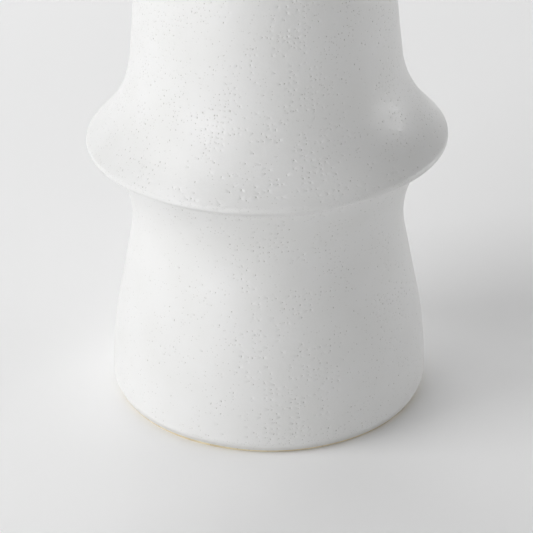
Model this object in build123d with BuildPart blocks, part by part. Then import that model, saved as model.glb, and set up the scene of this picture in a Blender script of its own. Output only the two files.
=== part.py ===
"""Two-tier ceramic bud vase: one fired stoneware shell and the coats of glaze on it.

Millimetres, +Z up. The origin is the centre of the face that the vase stands on.
Every piece is round about Z: half of its section is drawn on the XZ plane and
revolved. Radii and heights are measured over the glaze unless a comment says clay.
"""
import os

from build123d import *

os.makedirs("parts", exist_ok=True)

# Driving dimensions
HEIGHT = 190.0
GLAZE = 0.45                # thickness of every coat
WALL = 5.4                  # the clay and its two coats together
FLOOR_Z = 8.0               # the floor inside

# Lower tier: a drum that tapers to a waist
BASE_R = 40.0
BASE_LOW_Z = 3.0            # the drum is widest from here
BASE_HIGH_Z = 14.4          # to here
WAIST_R = 33.0
WAIST_Z = 50.0

# Collar: a flare, a steep underside with a crisp lower lip, and a sloping top
FLARE_R = 37.9
FLARE_Z = 64.5
COLLAR_R = 44.5
COLLAR_Z = 68.2
COLLAR_NOSE = 1.2           # height of the collar's edge before it is rounded
COLLAR_HOLLOW = 9.5         # how far the hollow inside stays behind the collar's edge

# Upper tier, shoulder, neck and lip
UPPER_R = 34.0
UPPER_Z = 80.6
SHOULDER_R = 28.2
SHOULDER_Z = 140.0
NECK_R = 12.6
NECK_LOW_Z = 153.0
NECK_HIGH_Z = 174.0
LIP_R = 16.2
MOUTH_R = 8.5               # the straight throat inside the neck
MOUTH_FLARE = 2.9           # how much the throat widens at the lip
CREST_R = (LIP_R + MOUTH_R + MOUTH_FLARE) / 2    # top of the lip, where the two coats meet

# Foot: a flat ring of bare clay round a shallow recess
GLAZE_LINE_R = 38.9         # the outer coat is wiped off below this edge
GLAZE_LINE_Z = 0.8
FOOT_R = 38.5
FOOT_ROUND = 0.3
RING_WIDTH = 6.0
RECESS_Z = 2.5              # ceiling of the recess
RECESS_DRAFT = 1.5          # how much the recess narrows towards its ceiling
RECESS_ROUND = 1.2
PATCH_GAP = 1.6             # bare clay between the recess wall and the patch of glaze
PATCH_ROUND = 0.3

# Corners of the outside, from the glaze line up to the crest of the lip:
# radius, height, and the radius that rounds the corner
OUTSIDE = [
    (GLAZE_LINE_R, GLAZE_LINE_Z, 0),
    (BASE_R, BASE_LOW_Z, 2.8),
    (BASE_R, BASE_HIGH_Z, 104.0),
    (WAIST_R, WAIST_Z, 26.5),
    (FLARE_R, FLARE_Z, 2.0),
    (COLLAR_R, COLLAR_Z, 1.0),
    (COLLAR_R, COLLAR_Z + COLLAR_NOSE, 1.4),
    (UPPER_R, UPPER_Z, 30.0),
    (SHOULDER_R, SHOULDER_Z, 15.0),
    (NECK_R, NECK_LOW_Z, 12.0),
    (NECK_R, NECK_HIGH_Z, 30.0),
    (LIP_R, HEIGHT, 1.9),
    (CREST_R, HEIGHT, 0),
]

# Corners of the inside, from the crest of the lip down to the middle of the floor
INSIDE = [
    (CREST_R, HEIGHT, 0),
    (MOUTH_R + MOUTH_FLARE, HEIGHT, 1.9),
    (MOUTH_R, NECK_HIGH_Z + 4.0, 20.0),
    (MOUTH_R, NECK_LOW_Z - 2.0, 8.0),
    (SHOULDER_R - WALL, SHOULDER_Z - 3.0, 12.0),
    (UPPER_R - WALL, UPPER_Z + 2.0, 12.0),
    (COLLAR_R - COLLAR_HOLLOW, COLLAR_Z + COLLAR_NOSE, 9.0),
    (WAIST_R - WALL, WAIST_Z, 12.0),
    (BASE_R - WALL - 0.5, BASE_HIGH_Z + 6.0, 25.0),
    (BASE_R - WALL - 1.0, FLOOR_Z, 8.0),
    (0, FLOOR_Z, 0),
]


def rounded_outline(corners):
    """Draw straight runs through the corners, each corner rounded by its own radius."""
    points = [(radius, height) for radius, height, rounding in corners]
    roundings = [rounding for radius, height, rounding in corners[1:-1]]
    return FilletPolyline(*points, radius=roundings)


def clay_behind(corners):
    """Give the corners of the clay's surface, one coat to the left of a glazed surface."""
    places = [Vector(radius, height) for radius, height, rounding in corners]
    runs = [(end - start).normalized() for start, end in zip(places, places[1:])]
    moved = []
    for index, place in enumerate(places):
        before = runs[max(index - 1, 0)]
        after = runs[min(index, len(runs) - 1)]
        sideways = (before + after).rotate(Axis.Z, 90) / (1 + before.dot(after))
        place += sideways * GLAZE
        # Behind a corner that turns left the rounding is tighter, and behind the others wider
        turns_left = before.cross(after).Z > 0
        rounding = corners[index][2] + (-GLAZE if turns_left else GLAZE)
        moved.append((place.X, place.Y, rounding))
    return moved


CLAY_OUTSIDE = clay_behind(OUTSIDE)
CLAY_INSIDE = clay_behind(INSIDE)

# The fired shell: both clay surfaces, which meet in the lip, and the foot between their other ends
recess_r = FOOT_R - RING_WIDTH - RECESS_DRAFT
with BuildPart() as clay_body:
    with BuildSketch(Plane.XZ):
        with BuildLine():
            outside = rounded_outline(CLAY_OUTSIDE)
            inside = rounded_outline(CLAY_INSIDE)
            Line(inside @ 1, (0, RECESS_Z + GLAZE))
            FilletPolyline(
                (0, RECESS_Z + GLAZE),
                (recess_r, RECESS_Z + GLAZE),
                (FOOT_R - RING_WIDTH, 0),
                (FOOT_R, 0),
                outside @ 0,
                radius=[RECESS_ROUND, FOOT_ROUND, FOOT_ROUND],
            )
        make_face()
    revolve(axis=Axis.Z)
clay_body.part.label = "clay_body"

# The outer coat, from the glaze line over the collar and the neck to the crest of the lip
with BuildPart() as outer_glaze:
    with BuildSketch(Plane.XZ):
        with BuildLine():
            face = rounded_outline(OUTSIDE)
            back = rounded_outline(CLAY_OUTSIDE)
            Line(face @ 0, back @ 0)
            Line(face @ 1, back @ 1)
        make_face()
    revolve(axis=Axis.Z)
outer_glaze.part.label = "outer_glaze"

# The inner coat, from the crest of the lip down the throat and the wall to the floor
with BuildPart() as inner_glaze:
    with BuildSketch(Plane.XZ):
        with BuildLine():
            face = rounded_outline(INSIDE)
            back = rounded_outline(CLAY_INSIDE)
            Line(face @ 0, back @ 0)
            Line(face @ 1, back @ 1)
        make_face()
    revolve(axis=Axis.Z)
inner_glaze.part.label = "inner_glaze"

# The patch of glaze left on the recess ceiling when the foot ring is wiped
with BuildPart() as recess_glaze:
    with BuildSketch(Plane.XY.offset(RECESS_Z)):
        Circle(recess_r - PATCH_GAP)
    extrude(amount=GLAZE)
    fillet(recess_glaze.edges().group_by(Axis.Z)[0], radius=PATCH_ROUND)
recess_glaze.part.label = "recess_glaze"

export_step(clay_body.part, "parts/clay_body.step")
export_step(outer_glaze.part, "parts/outer_glaze.step")
export_step(inner_glaze.part, "parts/inner_glaze.step")
export_step(recess_glaze.part, "parts/recess_glaze.step")
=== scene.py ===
"""Blender scene of a two-tier ceramic bud vase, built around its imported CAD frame.

Metres, in the frame's own axes: +Z up, the origin under the middle of the foot.
Profiles are written in millimetres and scaled by MM. Where the CAD model is a true
solid of revolution, the visible pieces have the small faults of a fired pot: the
axis leans, the collar is a little out of level, the wall is faintly uneven, the
wiped glaze line wavers, and pinholes are open in the satin glaze.
"""

import math
import random

import bpy
import numpy as np
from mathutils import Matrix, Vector, noise


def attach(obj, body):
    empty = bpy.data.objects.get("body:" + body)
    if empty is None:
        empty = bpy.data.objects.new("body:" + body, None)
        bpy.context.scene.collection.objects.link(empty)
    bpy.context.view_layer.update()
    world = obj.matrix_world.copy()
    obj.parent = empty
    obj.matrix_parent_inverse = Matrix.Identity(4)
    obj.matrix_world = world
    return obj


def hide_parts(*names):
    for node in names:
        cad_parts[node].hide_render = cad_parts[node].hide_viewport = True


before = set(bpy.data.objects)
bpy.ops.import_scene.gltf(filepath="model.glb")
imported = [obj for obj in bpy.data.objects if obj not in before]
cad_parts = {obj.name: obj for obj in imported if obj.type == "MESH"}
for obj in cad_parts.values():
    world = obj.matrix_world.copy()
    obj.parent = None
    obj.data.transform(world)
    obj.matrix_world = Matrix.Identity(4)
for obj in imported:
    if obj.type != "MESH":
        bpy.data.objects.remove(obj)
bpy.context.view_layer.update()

MM = 0.001
random.seed(11)

# Driving dimensions, as in the CAD model
HEIGHT = 190.0
GLAZE = 0.45
WALL = 5.4
FLOOR_Z = 8.0
BASE_R = 40.0
BASE_LOW_Z = 3.0
BASE_HIGH_Z = 14.4
WAIST_R = 33.0
WAIST_Z = 50.0
FLARE_R = 37.9
FLARE_Z = 64.5
COLLAR_R = 44.5
COLLAR_Z = 68.2
COLLAR_NOSE = 1.2
COLLAR_HOLLOW = 9.5
UPPER_R = 34.0
UPPER_Z = 80.6
SHOULDER_R = 28.2
SHOULDER_Z = 140.0
NECK_R = 12.6
NECK_LOW_Z = 153.0
NECK_HIGH_Z = 174.0
LIP_R = 16.2
MOUTH_R = 8.5
MOUTH_FLARE = 2.9
CREST_R = (LIP_R + MOUTH_R + MOUTH_FLARE) / 2
GLAZE_LINE_R = 38.9
GLAZE_LINE_Z = 0.8
EDGE_ROLL = (0.1, 0.17)     # how far the wiped edge bulges inward and down
FOOT_R = 38.5
FOOT_ROUND = 0.3
RING_WIDTH = 6.0
RECESS_Z = 2.5
RECESS_DRAFT = 1.5
RECESS_ROUND = 1.2
RECESS_R = FOOT_R - RING_WIDTH - RECESS_DRAFT
PATCH_GAP = 1.6
PATCH_ROUND = 0.3
PATCH_TOP_ROUND = 0.1

# Corners of the outer coat's face, from the glaze line up to the crest of the lip:
# radius, height, and the radius that rounds the corner
OUTSIDE = [
    (GLAZE_LINE_R, GLAZE_LINE_Z, 0),
    (BASE_R, BASE_LOW_Z, 2.8),
    (BASE_R, BASE_HIGH_Z, 104.0),
    (WAIST_R, WAIST_Z, 26.5),
    (FLARE_R, FLARE_Z, 2.0),
    (COLLAR_R, COLLAR_Z, 1.0),
    (COLLAR_R, COLLAR_Z + COLLAR_NOSE, 1.4),
    (UPPER_R, UPPER_Z, 30.0),
    (SHOULDER_R, SHOULDER_Z, 15.0),
    (NECK_R, NECK_LOW_Z, 12.0),
    (NECK_R, NECK_HIGH_Z, 30.0),
    (LIP_R, HEIGHT, 1.9),
    (CREST_R, HEIGHT, 0),
]

# Corners of the inner coat's face, from the crest of the lip down to the middle of the floor
INSIDE = [
    (CREST_R, HEIGHT, 0),
    (MOUTH_R + MOUTH_FLARE, HEIGHT, 1.9),
    (MOUTH_R, NECK_HIGH_Z + 4.0, 20.0),
    (MOUTH_R, NECK_LOW_Z - 2.0, 8.0),
    (SHOULDER_R - WALL, SHOULDER_Z - 3.0, 12.0),
    (UPPER_R - WALL, UPPER_Z + 2.0, 12.0),
    (COLLAR_R - COLLAR_HOLLOW, COLLAR_Z + COLLAR_NOSE, 9.0),
    (WAIST_R - WALL, WAIST_Z, 12.0),
    (BASE_R - WALL - 0.5, BASE_HIGH_Z + 6.0, 25.0),
    (BASE_R - WALL - 1.0, FLOOR_Z, 8.0),
    (0, FLOOR_Z, 0),
]

# Meshing: how fine the rings and their steps are
SEGMENTS = 160              # round the body, and half as many where it is slim
SLIM_R = 20.0
FACE_STEP = 1.4             # between rings of a face that shows
INSIDE_STEP = 2.0           # between rings of the inner coat
FOOT_STEP = 0.6             # between rings of the bare foot
HIDDEN_STEP = 4.0           # between rings of a surface that another piece covers
ARC_TURN = math.radians(7)  # the most that one step turns round a corner
FOOT_TURN = math.radians(20)
STRAY = 0.2                 # how far a point of the outer face strays, as a share of its cell
PLAIN_LOW = 2               # rings at the outer face's lower end with no straying or pinholes
PLAIN_HIGH = 3              # and at its upper end
ON_AXIS = 1e-6              # a smaller radius counts as a point on the axis


def rounded_outline(corners, step=FACE_STEP, arc_turn=ARC_TURN):
    """Points along straight runs whose corners are rounded, about step apart."""
    places = np.array([corner[:2] for corner in corners], float)
    points = [places[0]]

    def run_to(end):
        start = points[-1]
        count = max(1, round(np.linalg.norm(end - start) / step))
        points.extend(start + (end - start) * k / count for k in range(1, count + 1))

    for index in range(1, len(corners) - 1):
        place, rounding = places[index], corners[index][2]
        back = places[index - 1] - place
        on = places[index + 1] - place
        back /= np.linalg.norm(back)
        on /= np.linalg.norm(on)
        turn = math.pi - math.acos(np.clip(back @ on, -1, 1))
        run_to(place + back * rounding * math.tan(turn / 2))
        middle = (back + on) / np.linalg.norm(back + on)
        centre = place + middle * rounding / math.cos(turn / 2)
        arm = points[-1] - centre
        side = math.copysign(1, back[1] * on[0] - back[0] * on[1])
        count = max(2, math.ceil(max(turn / arc_turn, rounding * turn / step)))
        for k in range(1, count + 1):
            angle = side * turn * k / count
            across = np.array([-arm[1], arm[0]])
            points.append(centre + arm * math.cos(angle) + across * math.sin(angle))
    run_to(places[-1])
    return np.array(points)


def set_in(outline, depth):
    """The outline moved depth to its left, along the mean normal at each point."""
    runs = np.diff(outline, axis=0)
    runs /= np.linalg.norm(runs, axis=1)[:, None]
    before = np.vstack([runs[:1], runs])
    after = np.vstack([runs, runs[-1:]])
    both = before + after
    left = np.stack([-both[:, 1], both[:, 0]], axis=1)
    return outline + left * (depth / (1 + (before * after).sum(1)))[:, None]


def thinned(outline):
    """The outline with fewer points: one every HIDDEN_STEP, or wherever it has turned enough."""
    heading = np.unwrap(np.arctan2(*np.diff(outline, axis=0).T[::-1]))
    kept = [0]
    for index in range(1, len(outline) - 1):
        far = np.linalg.norm(outline[index] - outline[kept[-1]]) >= HIDDEN_STEP
        turned = abs(heading[index] - heading[kept[-1]]) >= 2 * ARC_TURN
        if far or turned:
            kept.append(index)
    return outline[kept + [len(outline) - 1]]


def noise_at(points, scale):
    """Smooth noise from -1 to 1 at each point, with features about scale millimetres across."""
    return np.array([noise.noise(Vector(point) / scale) for point in points])


class Lathe:
    """Makes a mesh from rings of points about Z, and opens pinholes in its cells."""

    def __init__(self):
        self.verts, self.faces = [], []
        self.pits = []          # the deepest points of the pinholes
        self.crisp = []         # the faces that are shaded flat

    def ring(self, radius, height, along=(0, 0), hidden=False):
        """A ring of points, or one point on the axis.

        Where a step along the outline is given, each point strays at random, round the
        ring and by part of that step.
        """
        start = len(self.verts)
        if radius < ON_AXIS:
            self.verts.append((0.0, 0.0, height))
            return [start]
        count = SEGMENTS // 2 if hidden or radius < SLIM_R else SEGMENTS
        for k in range(count):
            stray = random.uniform(-STRAY, STRAY) if any(along) else 0
            share = random.uniform(-STRAY, STRAY) if any(along) else 0
            turn = (k + stray) * 2 * math.pi / count
            here = radius + share * along[0]
            self.verts.append((here * math.cos(turn), here * math.sin(turn), height + share * along[1]))
        return list(range(start, start + count))

    def join(self, low, high, pinholes=None, crisp=False):
        """Fill between two rings, one of which may have fewer points than the other."""
        fine = max(len(low), len(high))
        first = len(self.faces)
        for k in range(fine):
            a, b = (low[i * len(low) // fine % len(low)] for i in (k, k + 1))
            d, c = (high[i * len(high) // fine % len(high)] for i in (k, k + 1))
            corners = list(dict.fromkeys((a, b, c, d)))
            if len(corners) == 4 and pinholes and self.pinhole(corners, pinholes):
                continue
            if len(corners) >= 3:
                self.faces.append(corners)
        if crisp:
            self.crisp.extend(range(first, len(self.faces)))

    def pinhole(self, corners, pinholes):
        """Open a pinhole in one four-cornered cell, if chance puts one there."""
        a, b, c, d = (np.array(self.verts[i]) for i in corners)
        chance, size = pinholes((a + c) / 2)
        if random.random() > chance:
            return False
        wide, tall = np.linalg.norm(b - a), np.linalg.norm(d - a)
        radius = min(size, PINHOLE_FIT * min(wide, tall))
        stretch = random.uniform(*PINHOLE_STRETCH)
        half = np.clip((radius * stretch / wide, radius / stretch / tall), 0, PINHOLE_FIT)
        middle = [random.uniform(0.5 - room, 0.5 + room) for room in PINHOLE_REACH - half]
        inward = np.cross(d - a, b - a)
        inward /= np.linalg.norm(inward)
        depth = radius * random.uniform(*PINHOLE_DEPTH)

        def spot(across, up, drop):
            low_edge = a * (1 - across) * (1 - up) + b * across * (1 - up)
            place = low_edge + c * across * up + d * (1 - across) * up
            self.verts.append(tuple(place + inward * drop))
            return len(self.verts) - 1

        turns = [math.pi * (2 * k + 1) / PINHOLE_SIDES - math.pi for k in range(PINHOLE_SIDES)]
        rim = [
            spot(middle[0] + half[0] * math.cos(turn), middle[1] + half[1] * math.sin(turn), 0.0)
            for turn in turns
        ]
        bottom = spot(*middle, depth)
        self.pits.append(bottom)
        # Round the rim, each side joins the cell's nearest corner, and the corners join up
        for k in range(PINHOLE_SIDES):
            j = (k + 1) % PINHOLE_SIDES
            near, next_near = (int(len(corners) * (i + 0.5) / PINHOLE_SIDES) for i in (k, j))
            self.faces.append((corners[near], rim[j], rim[k]))
            if near != next_near:
                self.faces.append((corners[near], corners[next_near], rim[j]))
            self.crisp.append(len(self.faces))
            self.faces.append((rim[k], rim[j], bottom))
        return True


# Pinholes in the outer coat
PINHOLE_SIDES = 6
PINHOLE_FIT = 0.42          # the largest radius, as a share of its cell
PINHOLE_REACH = 0.46        # how far from its cell's middle the rim may be, as a share of the cell
PINHOLE_STRETCH = (0.65, 1.0)       # 1 is round, and less is longer up and down
PINHOLE_DEPTH = (0.3, 0.55)         # as a share of its radius
PINHOLE_R = (0.11, 0.23)
PINHOLE_SMALL = 1.7         # above 1, small pinholes are commoner than large ones
PINHOLE_CHANCE = 0.43       # in one cell, before they thin out or crowd together
PINHOLE_SIDE = math.radians(-65)    # below the collar, they thin out away from this side
PINHOLE_THIN = 0.9          # how much they thin out a quarter turn from it
PINHOLE_THIN_SPAN = 10.0    # how far below the collar that takes full effect
PATCHES = 9.0               # size of the patches in which pinholes crowd together
PATCH_RATIO = 2.7           # each patch is broken up by patches this many times smaller
PATCH_SHARE = 0.6           # and the weight of the smaller ones
CROWDING = 2.1              # how strongly the patches change the chance of a pinhole


def pinholes_at(place):
    """The chance of a pinhole in the cell at a place, and its radius."""
    small_patches = noise.noise(Vector(place) / (PATCHES / PATCH_RATIO))
    crowd = noise.noise(Vector(place) / PATCHES) + PATCH_SHARE * small_patches
    low = np.clip((COLLAR_Z - place[2]) / PINHOLE_THIN_SPAN, 0, 1)
    side = math.sin(math.atan2(place[1], place[0]) - PINHOLE_SIDE) ** 2
    chance = PINHOLE_CHANCE * (1 - PINHOLE_THIN * low * side) * max(0.0, 1 + CROWDING * crowd)
    size = PINHOLE_R[0] + (PINHOLE_R[1] - PINHOLE_R[0]) * random.random() ** PINHOLE_SMALL
    return chance, size


# Faults of the fired pot
LEAN = (-0.373, 0.059)      # along X, times the square and the cube of height over LEAN_SPAN
LEAN_SPAN = 55.0
LEAN_TOP = 130.0
LEAN_EASE = 15.0            # above LEAN_TOP the axis turns upright again over about this height
COLLAR_TILT = math.radians(0.42)
TILT_FROM_Z = 54.0          # the tilt begins at this height
TILT_RISE = 8.0             # and is full this much higher
TILT_TO_Z = 92.0            # it ends at this height
TILT_FALL = 12.0            # and starts to fade this much lower
UNEVEN = 0.06               # height of the wall's slow undulation
UNEVEN_SCALE = 17.0
UNEVEN_SQUASH = 1.8         # how many times shorter it is up and down than round the wall
UNEVEN_FROM_Z = 3.2         # the wall is even below this height
UNEVEN_RISE = 8.0           # and fully uneven this much higher
WAVER = 0.16                # about how far the glaze line strays
WAVER_PHASE = math.radians(-127)
WAVER_FADE = 3.0            # the height over which the straying fades out


def fault(points):
    """The points, in millimetres, moved by the fired pot's lean, tilt and unevenness."""
    x, y, z = points.T
    share = np.clip(z, 0, LEAN_TOP) / LEAN_SPAN
    lean = LEAN[0] * share ** 2 + LEAN[1] * share ** 3
    slope = (2 * LEAN[0] * share + 3 * LEAN[1] * share ** 2) / LEAN_SPAN
    fade = np.exp(-np.clip(z - LEAN_TOP, 0, None) / LEAN_EASE)
    lean += slope * LEAN_EASE * (1 - fade)
    slope *= fade
    collar = np.clip((z - TILT_FROM_Z) / TILT_RISE, 0, 1) * np.clip((TILT_TO_Z - z) / TILT_FALL, 0, 1)
    slope = slope - COLLAR_TILT * collar
    radius = np.maximum(np.hypot(x, y), ON_AXIS)
    swell = UNEVEN * noise_at(points * (1, 1, UNEVEN_SQUASH), UNEVEN_SCALE)
    swell *= np.clip((z - UNEVEN_FROM_Z) / UNEVEN_RISE, 0, 1)
    return np.stack([x * (1 + swell / radius) + lean, y * (1 + swell / radius), z - slope * x], axis=1)


def waver(points):
    """Let the wiped lower edge of the outer coat stray up and down the wall."""
    x, y, z = points.T
    turn = np.arctan2(y, x) - WAVER_PHASE
    share = np.clip(1 - (z - GLAZE_LINE_Z) / WAVER_FADE, 0, 1)
    stray = WAVER * (np.cos(3 * turn) + 0.5 * np.sin(7 * turn)) * share
    radius = np.hypot(x, y)
    draft = (BASE_R - GLAZE_LINE_R) / (BASE_LOW_Z - GLAZE_LINE_Z)
    grow = 1 + stray * draft / radius
    return np.stack([x * grow, y * grow, z + stray], axis=1)


def make_piece(name, lathe, change=None):
    """Turn a lathe's rings into an object, in metres, with its faces pointing outward."""
    points = np.array(lathe.verts)
    if change:
        points = change(points)
    points = fault(points) * MM
    mesh = bpy.data.meshes.new(name)
    mesh.from_pydata(points.tolist(), [], lathe.faces)
    smooth = np.ones(len(mesh.polygons), bool)
    smooth[lathe.crisp] = False
    mesh.polygons.foreach_set("use_smooth", smooth)
    if lathe.pits:
        # 1 at the bottom of each pinhole, where the glaze paints shade into the pit
        depth = np.zeros(len(points))
        depth[lathe.pits] = 1.0
        mesh.attributes.new("pinhole", "FLOAT", "POINT").data.foreach_set("value", depth)
    piece = bpy.data.objects.new(name, mesh)
    bpy.context.collection.objects.link(piece)
    return piece


def make_outer_coat():
    face = rounded_outline(OUTSIDE)
    back = thinned(set_in(face, GLAZE))
    lathe = Lathe()
    # A point strays along the outline by a share of the shorter step beside it
    steps = np.diff(face, axis=0)
    shorter = [min(pair, key=np.linalg.norm) for pair in zip(steps, steps[1:])]
    along = np.zeros_like(face)
    along[PLAIN_LOW:-PLAIN_HIGH] = shorter[PLAIN_LOW - 1:1 - PLAIN_HIGH]
    rings = [lathe.ring(*point, step) for point, step in zip(face, along)]
    hidden = [lathe.ring(*point, hidden=True) for point in back]
    # The wiped edge is rolled over, not cut square
    rolled = lathe.ring(*((face[0] + back[0]) / 2 - EDGE_ROLL))
    for index, (low, high) in enumerate(zip(rings, rings[1:])):
        between = PLAIN_LOW <= index < len(rings) - PLAIN_HIGH
        lathe.join(low, high, pinholes_at if between else None)
    for low, high in zip(hidden, hidden[1:]):
        lathe.join(high, low)
    lathe.join(rings[-1], hidden[-1], crisp=True)
    lathe.join(hidden[0], rolled)
    lathe.join(rolled, rings[0])
    return make_piece("outer_coat", lathe, waver)


def make_inner_coat():
    face = rounded_outline(INSIDE, step=INSIDE_STEP)
    back = thinned(set_in(face, GLAZE))
    back[-1][0] = 0
    lathe = Lathe()
    rings = [lathe.ring(*point) for point in face]
    hidden = [lathe.ring(*point, hidden=True) for point in back]
    for low, high in zip(rings, rings[1:]):
        lathe.join(low, high)
    for low, high in zip(hidden, hidden[1:]):
        lathe.join(high, low)
    lathe.join(hidden[0], rings[0], crisp=True)
    return make_piece("inner_coat", lathe)


def make_clay_shell():
    outside = thinned(set_in(rounded_outline(OUTSIDE), GLAZE))
    inside = thinned(set_in(rounded_outline(INSIDE, step=INSIDE_STEP), GLAZE))
    inside[-1][0] = 0
    foot = rounded_outline([
        (0, RECESS_Z + GLAZE, 0),
        (RECESS_R, RECESS_Z + GLAZE, RECESS_ROUND),
        (FOOT_R - RING_WIDTH, 0, FOOT_ROUND),
        (FOOT_R, 0, FOOT_ROUND),
        (*outside[0], 0),
    ], step=FOOT_STEP, arc_turn=FOOT_TURN)
    lathe = Lathe()
    outline = np.vstack([foot, outside[1:], inside[1:]])
    rings = [lathe.ring(*point) for point in outline]
    for low, high in zip(rings, rings[1:]):
        lathe.join(low, high)
    return make_piece("clay_shell", lathe)


def make_foot_patch():
    face = rounded_outline([
        (0, RECESS_Z + GLAZE, 0),
        (RECESS_R - PATCH_GAP, RECESS_Z + GLAZE, PATCH_TOP_ROUND),
        (RECESS_R - PATCH_GAP, RECESS_Z, PATCH_ROUND),
        (0, RECESS_Z, 0),
    ])
    lathe = Lathe()
    rings = [lathe.ring(*point) for point in face]
    for low, high in zip(rings, rings[1:]):
        lathe.join(high, low)
    return make_piece("foot_patch", lathe)


# Sockets of the Mix node when it blends colours
MIX_SHARE, MIX_FIRST, MIX_SECOND, MIX_RESULT = 0, 6, 7, 2


class Nodes:
    """A material's node tree, with short ways to add and link nodes."""

    def __init__(self, name):
        self.material = bpy.data.materials.new(name)
        self.material.use_nodes = True
        self.tree = self.material.node_tree
        self.shader = self.tree.nodes["Principled BSDF"]

    def set(self, **values):
        """Give the shader's own sockets values that are the same all over."""
        for name, value in values.items():
            self.shader.inputs[name.replace("_", " ").title().replace("Ior", "IOR")].default_value = value

    def add(self, kind, inputs=None, **settings):
        node = self.tree.nodes.new("ShaderNode" + kind)
        for key, value in settings.items():
            setattr(node, key, value)
        for key, value in (inputs or {}).items():
            if isinstance(value, bpy.types.NodeSocket):
                self.tree.links.new(value, node.inputs[key])
            else:
                node.inputs[key].default_value = value
        return node

    def place(self):
        """Position on the object, in metres."""
        return self.add("TexCoord").outputs["Object"]

    def noise(self, scale, detail, roughness=0.5):
        """Noise whose features are about scale millimetres across."""
        return self.add("TexNoise", {
            "Vector": self.place(), "Scale": 1 / (scale * MM), "Detail": detail, "Roughness": roughness,
        }).outputs["Fac"]

    def specks(self, spacing, radius):
        """1 in the core of round specks of this radius, and 0 between them, in millimetres."""
        cells = self.add("TexVoronoi", {"Vector": self.place(), "Scale": 1 / (spacing * MM)}, feature="F1")
        return self.ramp(cells.outputs["Distance"], radius / spacing, SPECK_CORE * radius / spacing)

    def ramp(self, value, start, end):
        """0 at start and beyond it, 1 at end and beyond it, and a smooth step between."""
        return self.add("MapRange", {
            "Value": value, "From Min": start, "From Max": end,
        }, interpolation_type="SMOOTHSTEP").outputs["Result"]

    def math(self, operation, first, second):
        return self.add("Math", {0: first, 1: second}, operation=operation).outputs["Value"]

    def mix(self, share, first, second):
        """Blend two colours by a share from 0 to 1."""
        node = self.add("Mix", data_type="RGBA")
        for index, value in ((MIX_SHARE, share), (MIX_FIRST, first), (MIX_SECOND, second)):
            if isinstance(value, bpy.types.NodeSocket):
                self.tree.links.new(value, node.inputs[index])
            else:
                node.inputs[index].default_value = value if index == MIX_SHARE else (*value, 1)
        return node.outputs[MIX_RESULT]

    def bump(self, height, distance, strength):
        """Shade the surface as if height, from 0 to 1, stood distance millimetres high."""
        node = self.add("Bump", {"Height": height, "Distance": distance * MM, "Strength": strength})
        self.link("Normal", node.outputs["Normal"])

    def link(self, name, socket):
        self.tree.links.new(socket, self.shader.inputs[name])


WHITE = (0.76, 0.76, 0.756)
WHITE_SHADE = (0.74, 0.74, 0.731)
LINER = (0.78, 0.78, 0.765)
LINER_SHADE = (0.75, 0.745, 0.72)
# Painted shade inside the outer coat's pinholes and in its faint specks; a real speck colour in the liner
SPECK_AND_PIT_SHADE = (0.30, 0.29, 0.262)
SPECK_CORE = 0.35           # the share of a speck's radius that is at full strength
FAINT = 0.36                # strength of the faint specks of painted pit shade, for pinholes too small to open in the mesh
LINER_FAINT = 0.4
ROUGH_LOW = 0.37            # the satin glaze's roughness goes up from here
ROUGH_RANGE = 0.1           # by this much, in blotches
CLAY = (0.80, 0.71, 0.52)
CLAY_DARK = (0.66, 0.56, 0.38)
GRIT = (0.36, 0.29, 0.2)
GRIT_SHARE = 0.6


def satin_glaze():
    """Satin white glaze with painted shade in its pinholes, faint specks of painted pit shade and a fine
    ripple.
    """
    nodes = Nodes("satin_glaze")
    nodes.set(roughness=ROUGH_LOW + ROUGH_RANGE / 2, ior=1.5)
    cloud = nodes.ramp(nodes.noise(scale=14, detail=3), start=0.3, end=0.7)
    white = nodes.mix(cloud, WHITE, WHITE_SHADE)
    # Painted shade: the colour darkens towards the bottom of each pinhole, where shade falls in the pit
    pinhole = nodes.add("Attribute", attribute_name="pinhole").outputs["Fac"]
    # Painted shade: faint dark specks, in patches, stand in for the shade of pinholes too small to open in
    # the mesh
    patch = nodes.ramp(nodes.noise(scale=8, detail=2), start=0.3, end=0.55)
    faint = nodes.math("MULTIPLY", nodes.specks(spacing=1.1, radius=0.2), patch)
    faint = nodes.math("MULTIPLY", faint, FAINT)
    dark = nodes.math("MAXIMUM", pinhole, faint)
    nodes.link("Base Color", nodes.mix(dark, white, SPECK_AND_PIT_SHADE))
    blotch = nodes.ramp(nodes.noise(scale=3.2, detail=2), start=0.25, end=0.75)
    nodes.link("Roughness", nodes.math("ADD", nodes.math("MULTIPLY", blotch, ROUGH_RANGE), ROUGH_LOW))
    fine_ripple = nodes.math("MULTIPLY", nodes.noise(scale=0.35, detail=1), 0.3)
    ripple = nodes.math("ADD", nodes.noise(scale=1.1, detail=2), fine_ripple)
    nodes.bump(ripple, distance=0.05, strength=0.6)
    return nodes.material


def liner_glaze():
    """Glossy white glaze inside the vase, with sparse faint specks and a slow ripple."""
    nodes = Nodes("liner_glaze")
    nodes.set(roughness=0.18, ior=1.5)
    cloud = nodes.ramp(nodes.noise(scale=18, detail=2), start=0.3, end=0.7)
    white = nodes.mix(cloud, LINER, LINER_SHADE)
    faint = nodes.math("MULTIPLY", nodes.specks(spacing=3.0, radius=0.25), LINER_FAINT)
    nodes.link("Base Color", nodes.mix(faint, white, SPECK_AND_PIT_SHADE))
    nodes.bump(nodes.noise(scale=4.0, detail=2), distance=0.12, strength=0.7)
    return nodes.material


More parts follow.
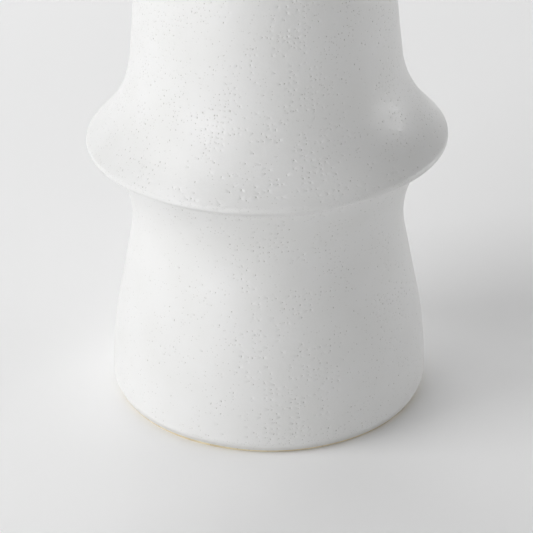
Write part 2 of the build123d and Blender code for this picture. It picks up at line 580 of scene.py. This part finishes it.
def bare_clay():
    """Fired buff clay, matt and slightly gritty, with darker clouds and fine dark grog."""
    nodes = Nodes("bare_clay")
    nodes.set(roughness=0.85, ior=1.45)
    cloud = nodes.ramp(nodes.noise(scale=5.0, detail=4, roughness=0.6), start=0.35, end=0.7)
    buff = nodes.mix(cloud, CLAY, CLAY_DARK)
    grit = nodes.math("MULTIPLY", nodes.specks(spacing=0.9, radius=0.2), GRIT_SHARE)
    nodes.link("Base Color", nodes.mix(grit, buff, GRIT))
    grain = nodes.math("ADD", nodes.noise(scale=0.5, detail=4, roughness=0.7), grit)
    nodes.bump(grain, distance=0.08, strength=0.8)
    return nodes.material


glaze = satin_glaze()
for piece, node, slot, material in (
    (make_outer_coat(), "outer_glaze", "speckled_glaze", glaze),
    (make_inner_coat(), "inner_glaze", "liner_glaze", liner_glaze()),
    (make_clay_shell(), "clay_body", "bare_clay", bare_clay()),
    (make_foot_patch(), "recess_glaze", "speckled_glaze", glaze),
):
    piece.data.materials.append(material)
    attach(piece, "root")
    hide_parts(node)


def add_object(name, data, place, look_at=None):
    made = bpy.data.objects.new(name, data)
    bpy.context.collection.objects.link(made)
    made.location = place
    if look_at is not None:
        made.rotation_mode = "QUATERNION"
        made.rotation_quaternion = (look_at - made.location).to_track_quat("-Z", "Y")
    return made


def seen_from(azimuth, elevation, distance):
    """A place at a distance, where azimuth 0 is the camera's side and 90 is its right."""
    turn, rise = math.radians(azimuth), math.radians(elevation)
    level = math.cos(rise)
    return Vector((math.sin(turn) * level, -math.cos(turn) * level, math.sin(rise))) * distance


# Camera: on the vase's axis in front of it, looking down at the lower tier
CAMERA_DISTANCE = 0.6
CAMERA_RISE = 25.81
CAMERA_SENSOR = 36.0
CAMERA_LENS = 162.55
CAMERA_TURNS_ON = Vector((0, 0, 0.055))
CAMERA_AIM = Vector((-0.00063, 0, 0.03125))

camera_data = bpy.data.cameras.new("camera")
camera_data.sensor_width = CAMERA_SENSOR
camera_data.lens = CAMERA_LENS
camera_place = CAMERA_TURNS_ON + seen_from(0, CAMERA_RISE, CAMERA_DISTANCE)
bpy.context.scene.camera = add_object("camera", camera_data, camera_place, CAMERA_AIM)

# A plain pale table top
TABLE_HALF = 1.8
TABLE_COLOUR = (0.95, 0.95, 0.95, 1)
table_mesh = bpy.data.meshes.new("table")
table_corners = [(x * TABLE_HALF, y * TABLE_HALF, 0) for x, y in ((-1, -1), (1, -1), (1, 1), (-1, 1))]
table_mesh.from_pydata(table_corners, [], [(0, 1, 2, 3)])
table = add_object("table", table_mesh, (0, 0, 0))
table_look = Nodes("table")
table_look.set(base_color=TABLE_COLOUR, roughness=0.6)
table_mesh.materials.append(table_look.material)

# Soft studio light: softboxes on a dome round the vase
LIGHT_DISTANCE = 2.0
LIGHT_WIDTH = 1.0
LIGHT_AIM = Vector((0, 0, 0.06))
LIGHTS = {                  # azimuth and elevation in degrees, height in metres, power in watts
    "key": (-75, 38, 1.0, 16.3),
    "front_left": (-45, 38, 1.0, 4.0),
    "high_left": (-135, 38, 1.0, 4.6),
    "low_left": (-45, 8, 0.5, 11.5),
    "low_right": (105, 8, 0.5, 9.5),
    "back_left": (-165, 18, 1.0, 9.8),
    "back_right": (165, 18, 1.0, 6.6),
    "top_right": (75, 62, 1.0, 2.6),
}
for name, (azimuth, elevation, height, power) in LIGHTS.items():
    softbox = bpy.data.lights.new(name, "AREA")
    softbox.shape = "RECTANGLE"
    softbox.size = LIGHT_WIDTH
    softbox.size_y = height
    softbox.energy = power
    add_object(name, softbox, seen_from(azimuth, elevation, LIGHT_DISTANCE), LIGHT_AIM)

# A pale surround that is brightest along the horizon
SKY_TOP = 0.12
SKY_LOW = 0.85
SKY_FADE = (0.02, 0.2)      # where it goes from low to top, as the sine of the angle above the horizon
world = bpy.data.worlds.new("world")
world.use_nodes = True
sky = world.node_tree
direction = sky.nodes.new("ShaderNodeSeparateXYZ")
glow = sky.nodes.new("ShaderNodeMapRange")
glow.interpolation_type = "SMOOTHSTEP"
glow.inputs["From Min"].default_value, glow.inputs["From Max"].default_value = SKY_FADE
glow.inputs["To Min"].default_value = SKY_LOW
glow.inputs["To Max"].default_value = SKY_TOP
sky.links.new(sky.nodes.new("ShaderNodeTexCoord").outputs["Generated"], direction.inputs[0])
sky.links.new(direction.outputs["Z"], glow.inputs["Value"])
sky.links.new(glow.outputs["Result"], sky.nodes["Background"].inputs["Strength"])
sky.nodes["Background"].inputs["Color"].default_value = (1, 1, 1, 1)
bpy.context.scene.world = world
bpy.context.scene.view_settings.view_transform = "Standard"
